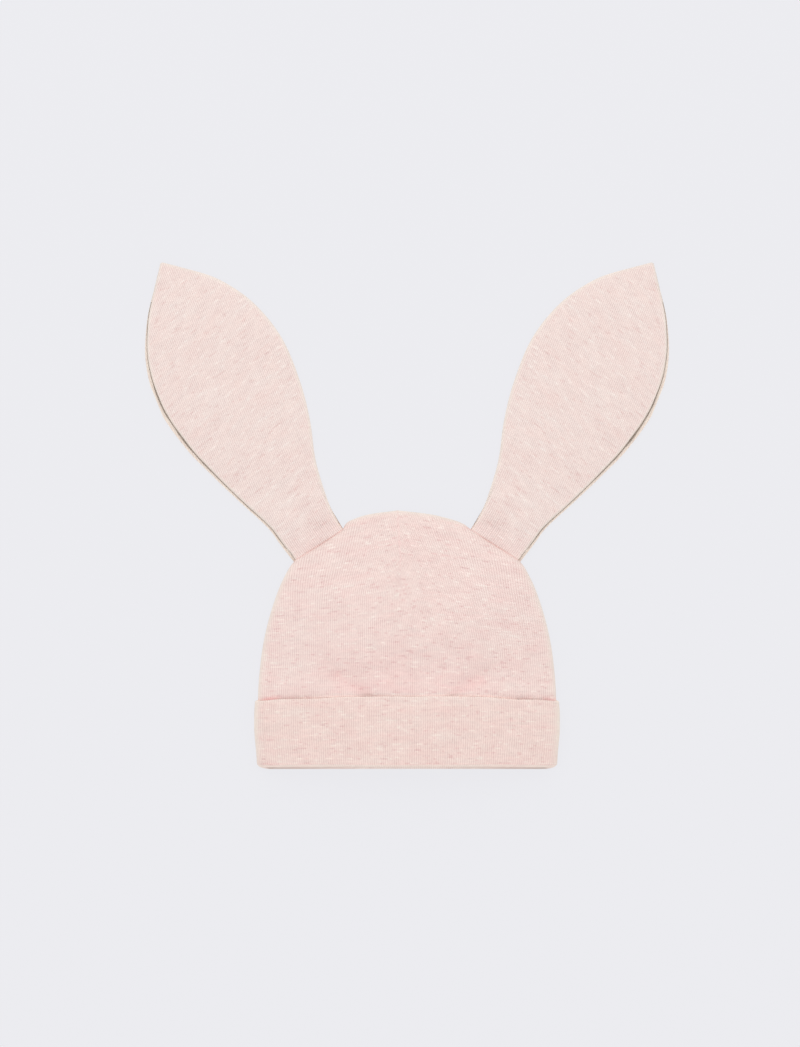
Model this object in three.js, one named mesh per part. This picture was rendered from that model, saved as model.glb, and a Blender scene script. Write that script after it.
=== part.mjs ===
// A baby's ribbed jersey hat with a turned-up cuff and two long pointed ears, lying flat on its back.
//
// Millimetres. +X runs across the hat, +Y from the mouth to the ear tips, and +Z up from the
// surface that the hat lies on. While the pieces are made, Y = 0 is the fold of the cuff and
// X = 0 is the middle of the hat; at the end the whole group is moved so that its origin is
// the middle of its underside.
import * as THREE from 'three';

// ---------------------------------------------------------------- driving sizes

const GAP = 0.3;                       // clearance between two pieces that touch

const CROWN = {
  wall: 2,                             // two plies of rib jersey
  foldRadius: 3,                       // outer radius of the side folds and of the top seam
  mouthY: 2.6,                         // lower edge, sewn to the foot of the cuff
  domeCentreY: 60,                     // the dome is round about this height
  apexY: 140,
  apexShift: -5,                       // the dart pulls the apex a little to one side
  loftAtCuff: 10,                      // how far the front stands above its own side folds
  loftAtDome: 16,
  loftFromY: 28,
  loftToY: 72,
  loftPower: 2.4,                      // fullness of the front from fold to fold
  settleFromY: 41,                     // the back comes down off the cuff between these heights
  settleToY: 56,
};

const CUFF = {
  wall: 2,
  height: 40.8,                        // turned-up leg at the middle of the front
  endDrop: 3.4,                        // how much lower its edge is at the side folds
  frontRise: 2.7,                      // the front fold sits this much above the back one
  endFlare: 1.3,                       // how far the edge stands off the crown near the ends
};

const EAR = {
  ply: 1.2,                            // each panel is a single ply
  lean: THREE.MathUtils.degToRad(29.4),
  baseX: 47.3,                         // middle of the sewn base
  baseY: 121.9,
  baseBlend: 20,                       // the line of the seam dies out over this length
  puffPower: 2.6,
};

// Right half of the crown's outline, from the mouth to the apex. The ear is sewn to the
// stretch between the two rows that carry an ear mark.
const CROWN_OUTLINE = [
  { x: 79.7, y: CROWN.mouthY },
  { x: 80.1, y: 22 },
  { x: 80.1, y: 42 },
  { x: 79.2, y: 55 },
  { x: 77.6, y: 67 },
  { x: 75.0, y: 79 },
  { x: 71.4, y: 91 },
  { x: 66.8, y: 102.5 },
  { x: 60.6, y: 112.3, ear: 'outer' },
  { x: 47.5, y: 120.6 },
  { x: 34.3, y: 128.8, ear: 'inner' },
  { x: 29.8, y: 133.2 },
  { x: 17.5, y: 137.2 },
  { x: 0, y: CROWN.apexY },
];

// Soft valleys in the front of the crown: each is a stretch of an ellipse about the middle of
// the hat, from side angle to side angle, measured from straight down, mirrored left and right.
const CROWN_VALLEYS = [
  { centreY: 77, halfWidth: 57, halfHeight: 36, width: 0.13, at: 38, spread: 13, depth: 1.8 },
  { centreY: 77, halfWidth: 57, halfHeight: 36, width: 0.12, at: 72, spread: 26, depth: 0.7 },
  { centreY: 82, halfWidth: 40, halfHeight: 20, width: 0.16, at: 0, spread: 42, depth: 0.5 },
];

// Sections across the ear, from its sewn base to its tip: half-widths on the side nearer the
// middle of the hat and on the outer side, how far the front panel puffs up, and how far the
// back panel reaches past it along the outer edge.
const EAR_SECTIONS = [
  { along: 0, inner: 15.2, outer: 16.3, puff: 2.1, reach: 0.8 },
  { along: 10, inner: 13.7, outer: 17.9, puff: 2.3, reach: 0.8 },
  { along: 20, inner: 15.4, outer: 19.1, puff: 2.4, reach: 0.8 },
  { along: 40, inner: 19.9, outer: 25.7, puff: 2.6, reach: 0.9 },
  { along: 60, inner: 27.7, outer: 32.2, puff: 3.0, reach: 1.1 },
  { along: 80, inner: 33.2, outer: 37.1, puff: 3.2, reach: 1.4 },
  { along: 106, inner: 36.4, outer: 39.6, puff: 3.0, reach: 1.3 },
  { along: 130, inner: 32.6, outer: 34.4, puff: 2.4, reach: 0.8 },
  { along: 150, inner: 22.9, outer: 22.6, puff: 1.6, reach: 0.4 },
  { along: 164, inner: 10.4, outer: 9.7, puff: 0.8, reach: 0.2 },
  { along: 173.6, inner: 0.6, outer: 0.6, puff: 0.2, reach: 0 },
];

// Tucks pressed into the front panel of the ear: place along the ear and across it (-1 is the
// edge nearer the middle of the hat), their sizes both ways, and their depth.
const EAR_TUCKS = [
  { along: 8, across: -0.55, length: 3, reach: 0.5, depth: 1.1 },
  { along: 34, across: 0.05, length: 14, reach: 0.16, depth: 0.5 },
];

// How finely each piece is divided.
const STEPS = {
  edge: 3,                             // quarter turn of a fold
  domePerRow: 2,                       // each row of the outline around the dome
  cuffFront: 20,
  cuffBack: 12,
  cuffFold: 6,
  earLength: 20,
  earWidth: 8,
};
const SIDE_ROWS_Y = [CROWN.mouthY, 13, 24, 33, 38, 42, 46, 50, 55, 60];
const CUFF_ROWS_Y = [13, 24, 33, 38];
const RING_RHO = [0.89, 0.78, 0.66, 0.53, 0.4, 0.24, 0];

// ---------------------------------------------------------------- small helpers

const clamp01 = (value) => Math.min(1, Math.max(0, value));
const smooth = (from, to, value) => {
  const t = clamp01((value - from) / (to - from));
  return t * t * (3 - 2 * t);
};
const bell = (value, spread) => Math.exp(-((value / spread) ** 2));
const flipped = (rows) => rows.map((row) => [...row].reverse());

// Collects shared vertices and outward faces, then gives a geometry.
class Skin {
  constructor() {
    this.positions = [];
    this.indices = [];
  }

  point(x, y, z) {
    this.positions.push(x, y, z);
    return this.positions.length / 3 - 1;
  }

  triangle(a, b, c) {
    if (a !== b && b !== c && c !== a) this.indices.push(a, b, c);
  }

  // Four corners, anticlockwise seen from outside.
  quad(a, b, c, d) {
    this.triangle(a, b, c);
    this.triangle(a, c, d);
  }

  // Faces between the rows of a grid of vertices. A closed grid joins its last column to its first.
  grid(rows, closed = false) {
    for (let i = 0; i + 1 < rows.length; i += 1) {
      const count = rows[i].length;
      for (let j = 0; j < (closed ? count : count - 1); j += 1) {
        const k = (j + 1) % count;
        this.quad(rows[i][j], rows[i][k], rows[i + 1][k], rows[i + 1][j]);
      }
    }
  }

  geometry() {
    const geometry = new THREE.BufferGeometry();
    geometry.setAttribute('position', new THREE.Float32BufferAttribute(this.positions, 3));
    geometry.setIndex(this.indices);
    geometry.computeVertexNormals();
    return geometry;
  }
}

// ---------------------------------------------------------------- form of the crown and cuff

const outlineCurve = new THREE.SplineCurve(CROWN_OUTLINE.map((row) => new THREE.Vector2(row.x, row.y)));
const outlineShare = (index) => index / (CROWN_OUTLINE.length - 1);
const earShare = (end) => outlineShare(CROWN_OUTLINE.findIndex((row) => row.ear === end));

// The share along the right outline at which it reaches a height on the straight sides.
function shareAtHeight(y) {
  let low = 0;
  let high = 1;
  for (let step = 0; step < 40; step += 1) {
    const middle = (low + high) / 2;
    if (outlineCurve.getPoint(middle).y < y) low = middle;
    else high = middle;
  }
  return (low + high) / 2;
}

// A point on the outline moved out by a distance. The side is 1 for the right, -1 for the left.
function outlinePoint(share, side, out) {
  const point = outlineCurve.getPoint(share);
  const tangent = outlineCurve.getTangent(share);
  const normal = new THREE.Vector2(tangent.y, -tangent.x);
  if (share >= 1) normal.set(0, 1);
  if (share <= 0) normal.set(1, 0);
  point.addScaledVector(normal, out);
  const earY = CROWN_OUTLINE.find((row) => row.ear === 'inner').y;
  const pull = clamp01((point.y - earY) / (CROWN.apexY - earY));
  return new THREE.Vector2(side * point.x + CROWN.apexShift * pull, point.y);
}

// Height of the crown's underside: it lies over the back of the cuff and then on the surface.
const backHeight = (y) => (CUFF.wall + GAP) * (1 - smooth(CROWN.settleFromY, CROWN.settleToY, y));

// How far the front stands above the side folds. rho is 0 on the middle line and 1 at the fold.
function frontLoft(y, rho) {
  const loft = THREE.MathUtils.lerp(
    CROWN.loftAtCuff, CROWN.loftAtDome, smooth(CROWN.loftFromY, CROWN.loftToY, y));
  return loft * (1 - rho ** CROWN.loftPower);
}

// Depth of the soft valleys at a place on the front.
function valleyDepth(x, y) {
  let depth = 0;
  for (const valley of CROWN_VALLEYS) {
    const across = x / valley.halfWidth;
    const up = (y - valley.centreY) / valley.halfHeight;
    const angle = THREE.MathUtils.radToDeg(Math.atan2(Math.abs(across), -up));
    depth += valley.depth * bell(Math.hypot(across, up) - 1, valley.width)
      * bell(angle - valley.at, valley.spread);
  }
  return depth;
}

// The front half of the fold of the cuff sits a little higher up the hat than the back half.
function riseOfFront(y, z) {
  const topZ = backHeight(y) + 2 * CROWN.foldRadius + CROWN.loftAtCuff;
  return CUFF.frontRise * clamp01(1 - y / CUFF.height) * clamp01(z / topZ);
}

// ---------------------------------------------------------------- crown

// Rays from the outline to the spine of the pouch, left mouth corner to right mouth corner.
function crownRays(inset) {
  const shares = SIDE_ROWS_Y.map(shareAtHeight);
  shares[0] = 0;
  const domeRow = CROWN_OUTLINE.findIndex((row) => row.y > CROWN.domeCentreY);
  for (let row = domeRow; row < CROWN_OUTLINE.length; row += 1 / STEPS.domePerRow) {
    shares.push(Math.min(1, outlineShare(row)));
    if (shares.at(-1) === 1) break;
  }
  const ray = (share, side) => {
    const edge = outlinePoint(share, side, -inset);
    return { edge, spine: new THREE.Vector2(0, Math.min(edge.y, CROWN.domeCentreY)) };
  };
  const right = shares.map((share) => ray(share, 1));
  const left = shares.slice(0, -1).map((share) => ray(share, -1));
  return [...left, ...right.reverse()];
}

// Adds one skin of the pouch, inset from its outer form, and gives the vertices of its mouth.
function crownSkin(skin, inset, inward) {
  const radius = CROWN.foldRadius - inset;
  const rays = crownRays(inset);

  // Rings from the fold inwards: how far in, and how much of the fold's radius they stand off.
  const rings = [];
  for (let i = 0; i <= STEPS.edge; i += 1) {
    const turn = (Math.PI / 2) * (i / STEPS.edge);
    rings.push({ inBy: radius * (1 - Math.cos(turn)), standOff: radius * Math.sin(turn) });
  }
  for (const rho of RING_RHO) rings.push({ rho, standOff: radius });

  const cache = new Map();
  const vertex = (ray, ring, front) => {
    const length = ray.edge.distanceTo(ray.spine);
    const rho = ring.rho ?? 1 - ring.inBy / length;
    const place = ray.spine.clone().lerp(ray.edge, rho);
    const outerRho = (rho * length) / (length + inset);
    const middle = backHeight(place.y) + CROWN.foldRadius;
    const z = front
      ? middle + ring.standOff + frontLoft(place.y, outerRho) - valleyDepth(place.x, place.y)
      : middle - ring.standOff;
    const y = place.y + riseOfFront(place.y, z);
    const key = [place.x, y, z].map((value) => value.toFixed(4)).join(' ');
    if (!cache.has(key)) cache.set(key, skin.point(place.x, y, z));
    return cache.get(key);
  };

  const sheet = (front) => rings.map((ring) => rays.map((ray) => {
    if (ring === rings[0]) return vertex(ray, ring, true);
    return vertex(ray, ring, front);
  }));
  const frontRows = sheet(true);
  const backRows = sheet(false);
  skin.grid(inward ? frontRows : flipped(frontRows));
  skin.grid(inward ? flipped(backRows) : backRows);

  // Around the mouth: front from the left fold to the right, then the back to the left fold.
  const leftColumn = (rows) => rows.map((row) => row[0]);
  const rightColumn = (rows) => rows.map((row) => row[row.length - 1]).reverse();
  const front = [...leftColumn(frontRows), ...rightColumn(frontRows).slice(1)];
  const back = [...leftColumn(backRows), ...rightColumn(backRows).slice(1)].reverse();
  return [...front, ...back.slice(1, -1)];
}

function crownGeometry() {
  const skin = new Skin();
  const outer = crownSkin(skin, 0, false);
  const inner = crownSkin(skin, CROWN.wall, true);
  skin.grid([inner, outer], true);
  return skin.geometry();
}

// ---------------------------------------------------------------- cuff

// Stations around the flattened tube of the hat, seen from its mouth.
function cuffStations() {
  const stations = [];
  const turns = 2 * STEPS.edge;
  for (let i = 0; i < STEPS.cuffFront; i += 1) {
    stations.push({ share: -1 + (2 * i) / STEPS.cuffFront, tilt: Math.PI / 2, front: true });
  }
  for (let i = 0; i < turns; i += 1) {
    stations.push({ share: 1, tilt: Math.PI / 2 - (Math.PI * i) / turns, front: i < STEPS.edge });
  }
  for (let i = 0; i < STEPS.cuffBack; i += 1) {
    stations.push({ share: 1 - (2 * i) / STEPS.cuffBack, tilt: -Math.PI / 2, front: false });
  }
  for (let i = 0; i < turns; i += 1) {
    stations.push({ share: -1, tilt: -Math.PI / 2 + (Math.PI * i) / turns, front: i > STEPS.edge });
  }
  return stations;
}

// Section of the cuff along the hat: height above the fold, and distance out from the crown's
// skin. The leg stands outside the crown, and the foot turns in under the crown's lower edge.
function cuffProfile() {
  const outerFace = GAP + CUFF.wall;
  const footEnd = -CROWN.wall;
  const footTop = CROWN.mouthY - GAP;
  const foldRadius = (outerFace - footEnd) / 2;
  const foldOut = (outerFace + footEnd) / 2;
  const edgeY = CUFF.height - 0.6;
  const leg = (y, out) => ({ y, out, leg: true });
  const outside = [foldRadius, ...CUFF_ROWS_Y, edgeY].map((y) => leg(y, outerFace));
  const inside = [edgeY, ...[...CUFF_ROWS_Y].reverse(), footTop].map((y) => leg(y, GAP));
  const profile = [...outside, leg(CUFF.height, outerFace - CUFF.wall / 2), ...inside];
  profile.push({ y: footTop, out: footEnd });
  for (let i = STEPS.cuffFold; i > 0; i -= 1) {
    const angle = (Math.PI * i) / STEPS.cuffFold;
    profile.push({ y: foldRadius * (1 - Math.sin(angle)), out: foldOut + foldRadius * Math.cos(angle) });
  }
  return profile;
}

function cuffGeometry() {
  const skin = new Skin();
  const stations = cuffStations();
  const halfWidthAt = (y) => outlineCurve.getPoint(shareAtHeight(Math.max(y, CROWN.mouthY + 0.01))).x;
  const rows = cuffProfile().map(({ y, out, leg }) => stations.map(({ share, tilt, front }) => {
    const halfWidth = halfWidthAt(y);
    const flat = halfWidth - CROWN.foldRadius;
    const up = y / CUFF.height;
    const endward = Math.abs(share);
    const flare = leg && front ? CUFF.endFlare * up ** 3 * smooth(0.45, 0.8, endward) * Math.sin(tilt) : 0;
    const radius = CROWN.foldRadius + out;
    const x = share * flat + Math.sign(share) * radius * Math.cos(tilt);
    const loft = tilt > 0 ? frontLoft(y, Math.min(1, Math.abs(x) / halfWidth)) : 0;
    const z = backHeight(y) + CROWN.foldRadius + radius * Math.sin(tilt) + loft + flare;
    const drop = leg ? CUFF.endDrop * up ** 2 * (x / halfWidth) ** 2 : 0;
    return skin.point(x, y - drop + riseOfFront(y, z), z);
  }));
  skin.grid([...rows, rows[0]], true);
  return skin.geometry();
}

// ---------------------------------------------------------------- ears

const earCurve = (column) => new THREE.SplineCurve(
  EAR_SECTIONS.map((row) => new THREE.Vector2(row.along, row[column])));
const earCurves = Object.fromEntries(
  ['inner', 'outer', 'puff', 'reach'].map((column) => [column, earCurve(column)]));

// A place on the right ear in the frame of the hat. across is -1 at the inner edge, 1 at the outer.
function earPlace(share, across, isFront) {
  const along = earCurves.inner.getPoint(share).x;
  const reach = isFront ? earCurves.reach.getPoint(share).y : 0;
  const width = across < 0
    ? across * earCurves.inner.getPoint(share).y
    : across * (earCurves.outer.getPoint(share).y - reach);
  const toLocal = (a, w) => new THREE.Vector2(
    EAR.baseX + a * Math.sin(EAR.lean) + w * Math.cos(EAR.lean),
    EAR.baseY + a * Math.cos(EAR.lean) - w * Math.sin(EAR.lean));
  const place = toLocal(along, width);

  // Near its base the ear follows the edge of the crown that it is sewn to.
  const blend = 1 - smooth(0, EAR.baseBlend, along);
  const seamShare = THREE.MathUtils.lerp(earShare('inner'), earShare('outer'), (across + 1) / 2);
  const seam = outlinePoint(seamShare, 1, GAP);
  const baseWidth = across * (across < 0 ? EAR_SECTIONS[0].inner : EAR_SECTIONS[0].outer);
  const onBase = toLocal(0, baseWidth);
  return place.add(seam.sub(onBase).multiplyScalar(blend));
}

// How high the underside of the front panel stands above the back panel.
function earPuff(share, across) {
  const along = earCurves.inner.getPoint(share).x;
  let puff = earCurves.puff.getPoint(share).y * (1 - Math.abs(across) ** EAR.puffPower);
  for (const tuck of EAR_TUCKS) {
    puff -= tuck.depth * bell(along - tuck.along, tuck.length) * bell(across - tuck.across, tuck.reach);
  }
  return Math.max(0, puff);
}

// One panel of an ear: a bottom and a top sheet joined around their edge.
function earPanelGeometry(side, isFront) {
  const skin = new Skin();
  const baseRow = isFront ? 1 : 0;
  const sheet = (top) => {
    const rows = [];
    for (let i = 0; i <= STEPS.earLength; i += 1) {
      const share = i / STEPS.earLength;
      const row = [];
      for (let j = 0; j <= STEPS.earWidth; j += 1) {
        const across = -1 + (2 * j) / STEPS.earWidth;
        const place = earPlace(share, across, isFront);
        const low = baseRow * (EAR.ply + GAP + earPuff(share, across));
        row.push(skin.point(side * place.x, place.y, low + (top ? EAR.ply : 0)));
      }
      rows.push(row);
    }
    return rows;
  };
  const bottom = sheet(false);
  const top = sheet(true);
  const right = side > 0;
  skin.grid(right ? top : flipped(top));
  skin.grid(right ? flipped(bottom) : bottom);
  const border = (rows) => {
    const last = rows.length - 1;
    const up = rows.map((row) => row[row.length - 1]);
    const down = rows.map((row) => row[0]).reverse();
    return [...rows[0], ...up.slice(1), ...[...rows[last]].reverse().slice(1), ...down.slice(1, -1)];
  };
  const edge = [border(bottom), border(top)];
  skin.grid(right ? edge : flipped(edge), true);
  return skin.geometry();
}

// ---------------------------------------------------------------- assembly

const hat = new THREE.Group();

const FABRICS = {
  crown: { color: 0xefd9d1, roughness: 0.95, metalness: 0 },
  cuff: { color: 0xeed5cd, roughness: 0.95, metalness: 0 },
  earFront: { color: 0xefdcd5, roughness: 0.95, metalness: 0 },
  earBack: { color: 0xe6d2c9, roughness: 0.95, metalness: 0 },
};

function addPiece(name, geometry, fabric) {
  const piece = new THREE.Mesh(geometry, new THREE.MeshStandardMaterial(FABRICS[fabric]));
  piece.name = name;
  hat.add(piece);
}

addPiece('crown', crownGeometry(), 'crown');
addPiece('cuff', cuffGeometry(), 'cuff');
for (const [hand, side] of [['left', -1], ['right', 1]]) {
  addPiece(`ear_front_${hand}`, earPanelGeometry(side, true), 'earFront');
  addPiece(`ear_back_${hand}`, earPanelGeometry(side, false), 'earBack');
}

// The origin is the middle of the underside.
const bounds = new THREE.Box3().setFromObject(hat);
const centre = bounds.getCenter(new THREE.Vector3());
hat.position.set(-centre.x, -centre.y, -bounds.min.z);

export default hat;
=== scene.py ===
"""The looks of a baby's rib-knit hat with ears, lying flat on its back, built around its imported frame.

The shapes are worked out in millimetres in the hat's own place: X across from its middle, Y up
from the fold of the cuff, and Z up from the floor. cloth_object() moves them into the frame.
Each piece of knit is a grid whose columns follow the wales (the knitted ribs), so the ribs are
real geometry, and its "Knit" map gives every point's wale and course place in millimetres.
"""
import math

import bmesh
import bpy
import numpy as np
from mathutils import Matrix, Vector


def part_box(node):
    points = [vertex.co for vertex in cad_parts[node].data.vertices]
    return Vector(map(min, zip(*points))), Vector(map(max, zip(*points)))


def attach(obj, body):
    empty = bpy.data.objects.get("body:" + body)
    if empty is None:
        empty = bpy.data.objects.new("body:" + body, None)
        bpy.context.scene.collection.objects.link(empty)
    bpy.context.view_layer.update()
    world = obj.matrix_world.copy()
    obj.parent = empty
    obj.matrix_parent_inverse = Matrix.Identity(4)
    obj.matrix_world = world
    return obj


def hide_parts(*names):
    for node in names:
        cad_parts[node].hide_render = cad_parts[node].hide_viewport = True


MM = 0.001
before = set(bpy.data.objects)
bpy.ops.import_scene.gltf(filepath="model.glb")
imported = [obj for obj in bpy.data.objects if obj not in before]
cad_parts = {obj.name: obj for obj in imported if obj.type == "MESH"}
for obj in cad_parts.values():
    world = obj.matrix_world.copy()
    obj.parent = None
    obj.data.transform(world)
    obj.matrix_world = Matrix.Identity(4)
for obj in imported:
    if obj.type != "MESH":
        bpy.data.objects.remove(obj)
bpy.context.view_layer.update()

# ---- sizes, in millimetres

FOLD_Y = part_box("cuff")[0].y / MM  # the frame's Y at the fold of the cuff
APEX_Y = (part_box("crown")[1].y / MM) - FOLD_Y
CUFF_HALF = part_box("cuff")[1].x / MM

WALL = 2.0  # thickness of the cloth
GAP = 0.3  # from the cuff to the crown
FOLD_RADIUS = 3.0  # of the crown's flattened edge
DOME_CENTRE_Y = 60.0  # the crown is a dome above this and straight below it
APEX_SHIFT = -5.0
LOFT_AT_CUFF = 10.0  # how far the middle of the front stands up
LOFT_AT_DOME = 16.0
LOFT_Y = (28.0, 72.0)  # where it goes from the one to the other
LOFT_POWER = 2.4
LOFT_MARGIN = 2.5  # from the seam, with no loft, to where it is whole
SETTLE_Y = (41.0, 56.0)  # where the back comes down from the cuff to the floor
CUFF_HEIGHT = 40.8
CUFF_END_DROP = 3.4
CUFF_FRONT_RISE = 2.7
CUFF_END_FLARE = 0.7
CUFF_EDGE_RADIUS = 1.0
CORNER_RADIUS = 3.6
MOUTH_Y = 2.6
WIDEST_Y = 42.0

CROWN_WALE = 1.15  # pitch of the ribs on the crown
CUFF_WALE = 1.2
EAR_WALE = 1.09
COURSE = 0.85  # height of one row of stitches
SIDES_PER_WALE = 4
SIDES_ON_BACK = 2
CROWN_RIB = 0.2  # ridge to valley
CUFF_RIB = 0.26
EAR_RIB = 0.17
JERSEY_GROOVE, CUFF_GROOVE = 0.66, 0.62  # how strongly shade is painted into the grooves between the ribs

# Right half of the crown's outline from the mouth to the apex.
CROWN_OUTLINE = [
    (79.7, MOUTH_Y), (80.1, 22.0), (80.1, WIDEST_Y), (79.2, 55.0), (77.6, 67.0), (75.0, 79.0),
    (71.4, 91.0), (66.8, 102.5), (60.6, 112.3), (47.5, 120.9), (34.0, 129.7), (32.2, 132.0),
    (28.3, 134.2), (17.3, 137.4), (0.0, APEX_Y),
]
CROWN_SIDE = CROWN_OUTLINE[:4]
EAR_SEAM_OUTER, EAR_SEAM_INNER = CROWN_OUTLINE[8], CROWN_OUTLINE[10]
WITHOUT_SHOULDERS = CROWN_OUTLINE[:11] + CROWN_OUTLINE[13:]

# Soft valleys in the front of the crown, stretches of ellipses about the middle of the hat. Their
# width is a share of the half sizes, and at and spread are degrees from straight down, to both sides.
CROWN_VALLEYS = [
    {"centre_y": 77, "half": (57, 36), "width": 0.13, "at": 38, "spread": 13, "depth": 1.8},
    {"centre_y": 77, "half": (57, 36), "width": 0.12, "at": 72, "spread": 26, "depth": 0.7},
    {"centre_y": 82, "half": (40, 20), "width": 0.16, "at": 0, "spread": 42, "depth": 0.5},
]

# Short folds in the front of the crown above the cuff, as segments.
CROWN_FOLDS = [((-37.0, 51.0), (-21.0, 41.0)), ((39.0, 49.0), (25.0, 42.0))]

# Beyond each ear the top seam lies a little inside the outline, as far as this, drawn as a line of
# painted shade.
RIDGE_REACH, RIDGE_SHIFT, RIDGE_Y = 20.0, -3, 134.4

EAR_LEAN = math.radians(29.4)
EAR_BASE = (47.3, 121.9)
# Along the ear: half-widths to the inner and the outer edge, puff of the front panel, and how
# far the back panel reaches past it along the outer edge.
EAR_SECTIONS = [
    (0, 15.0, 17.2, 2.1, 1.5), (5, 14.5, 17.9, 2.2, 1.5), (10, 14.3, 18.6, 2.3, 1.4),
    (20, 15.5, 19.8, 2.4, 1.3), (40, 20.1, 26.2, 2.6, 1.3), (60, 27.9, 32.3, 3.0, 1.6),
    (80, 33.4, 37.5, 3.2, 2.1), (106, 36.6, 39.7, 3.0, 2.3), (130, 32.7, 34.0, 2.4, 1.6),
    (150, 22.9, 22.1, 1.6, 0.8), (164, 10.4, 9.5, 0.8, 0.3), (173.6, 0.6, 0.6, 0.2, 0.0),
]
EAR_EDGE_RADIUS = 1.35
EAR_LEAST_HEIGHT = 0.16  # of a panel's outer face over the middle, near its edge
EAR_BACK_INSET = 0.4  # the back panel's inner edge, hidden under the rolled seam
EAR_TUCK_IN = 0.5  # sewn this far inside the crown's seam
EAR_TIP = EAR_SECTIONS[-1][0]
EAR_SLANT = 0.13  # how far the wales go across for each millimetre along
EAR_TURN_SLANT, EAR_TURN = 0.27, 14  # what is added to it at the sewn end, and how far up

# Soft lines over the cloth, each across some distance in millimetres: strength, place and spread.
RELIEF = {  # strength in millimetres
    "fold": (0.7, 0, 3.5),
    "bulge": (0.5, 2, 6),
    "dart_line": (0.12, 0, 0.45),
    "dart_valley": (0.2, 0, 4),
    "ear_tuck": (1.15, 8, 3.0),
    "ear_fold": (0.6, 2, 4.5),
}
SHADE = {  # painted shade, strength as a share, where less than 0 is painted light
    "cuff_shadow": (0.40, 0, 1.5),
    "above_cuff": (0.10, 0, 26),
    "beside_cuff": (-0.24, 0.2, 1.1),
    "crown_middle": (-0.015, 88, 26),
    "beside_seam": (-0.01, 1.4, 1.6),
    "seam": (0.17, 0, 0.4),
    "fold": (0.10, 0, 3.2),
    "ridge": (0.13, 0, 0.45),
    "dart": (0.09, 0, 0.5),
    "cuff_inside": (0.6, CUFF_HEIGHT, 4),
    "cuff_edge": (-0.05, CUFF_HEIGHT, 0.6),
    "cuff_fold_line": (0.18, 1.9, 0.35),
    "cuff_fold": (-0.07, 0.9, 0.6),
    "ear_seam": (0.17, 0, 0.4),
    "above_ear_seam": (0.05, 4, 7),
    "ear_back_edge": (-0.1, 0, 1.5),
}
PAINTED_EDGE_LIGHT = {  # how much of the painted edge highlight shows
    "crown_edge": (0.8, 0, 3.2),
    "crown_seam": (0.8, 0, 5),  # takes the painted edge highlight away
    "cuff_edge": (0.2, CUFF_HEIGHT, 1.4),
    "cuff_fold": (0.35, 1, 1.5),
    "cuff_end": (0.75, 0, 3.0),
    "ear_edge": (0.6, 0, 1.1),
}

# Seeds of unevenness.
SEEDS = {"corner": 3, "crown": 5, "cuff": 11, "cuff_top": 23, "left_ear": 31, "right_ear": 37,
         "shadow_line_radius": 41, "shadow_line_place": 51}


# ---- small maths

def smooth(low, high, value):
    """0 up to low and 1 from high on."""
    t = np.clip((np.asarray(value, float) - low) / (high - low), 0, 1)
    return t * t * (3 - 2 * t)


def bell(value, spread):
    """1 at 0, fading to both sides."""
    return np.exp(-((np.asarray(value, float) / spread) ** 2))


def soft_line(row, distance):
    """A row of RELIEF, SHADE or PAINTED_EDGE_LIGHT, at distances across its line."""
    strength, place, spread = row
    return strength * bell(distance - place, spread)


def spline(points, per_span):
    """A curve through every point, with that many steps between two of them."""
    p = np.asarray(points, float)
    padded = np.vstack([p[:1], p, p[-1:]])
    t = np.linspace(0, 1, per_span, endpoint=False)[:, None]
    spans = []
    for i in range(len(p) - 1):
        a, b, c, d = padded[i:i + 4]
        before, here, after = np.linalg.norm(b - a), np.linalg.norm(c - b), np.linalg.norm(d - c)
        m0, m1 = (c - a) * here / (before + here), (d - b) * here / (here + after)
        spans.append((2 * t ** 3 - 3 * t ** 2 + 1) * b + (t ** 3 - 2 * t ** 2 + t) * m0
                     + (-2 * t ** 3 + 3 * t ** 2) * c + (t ** 3 - t ** 2) * m1)
    return np.vstack(spans + [p[-1:]])


def edge_normals(line):
    """Unit normals on the left-hand side of a polyline."""
    along = np.gradient(line, axis=0)
    along /= np.linalg.norm(along, axis=1)[:, None]
    return np.column_stack([-along[:, 1], along[:, 0]])


BATCH = 4000  # points at a time
ON_OUTLINE = 0.02  # a point this close to an outline is on it


def to_edge(points, line):
    """Distance from each point in to an outline, and the unit direction inward from the outline."""
    out_d = np.empty(len(points))
    out_n = np.empty((len(points), 2))
    a, b = line[:-1], line[1:]
    ab = b - a
    length2 = np.maximum((ab ** 2).sum(1), 1e-12)
    normals = edge_normals(line)
    for start in range(0, len(points), BATCH):
        p = points[start:start + BATCH, None, :]
        t = np.clip(((p - a) * ab).sum(2) / length2, 0, 1)
        gap = p - (a + t[:, :, None] * ab)
        d2 = (gap ** 2).sum(2)
        k = d2.argmin(1)
        rows = np.arange(len(k))
        d = np.sqrt(d2[rows, k])
        direction = gap[rows, k] / np.maximum(d, 1e-9)[:, None]
        share = t[rows, k, None]
        inward = -normals[k] * (1 - share) - normals[k + 1] * share
        outside = ((direction * inward).sum(1) < 0) | (d < ON_OUTLINE)
        direction[outside] = inward[outside]
        d[outside] = 0.0
        out_d[start:start + BATCH] = d
        out_n[start:start + BATCH] = direction
    return out_d, out_n


def from_segments(x, y, segments):
    """Distance from each point to the nearest of a few straight segments."""
    nearest = np.full(np.shape(x), np.inf)
    for (ax, ay), (bx, by) in segments:
        dx, dy = bx - ax, by - ay
        t = np.clip(((x - ax) * dx + (y - ay) * dy) / (dx * dx + dy * dy), 0, 1)
        nearest = np.minimum(nearest, np.hypot(x - ax - t * dx, y - ay - t * dy))
    return nearest


# The waves of a ripple, in radians per millimetre across and along.
RIPPLE_WAVES = [
    (0.11, 0.05), (-0.06, 0.13), (0.17, 0.11), (0.05, -0.19), (0.23, -0.08), (-0.15, 0.21),
]


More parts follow.
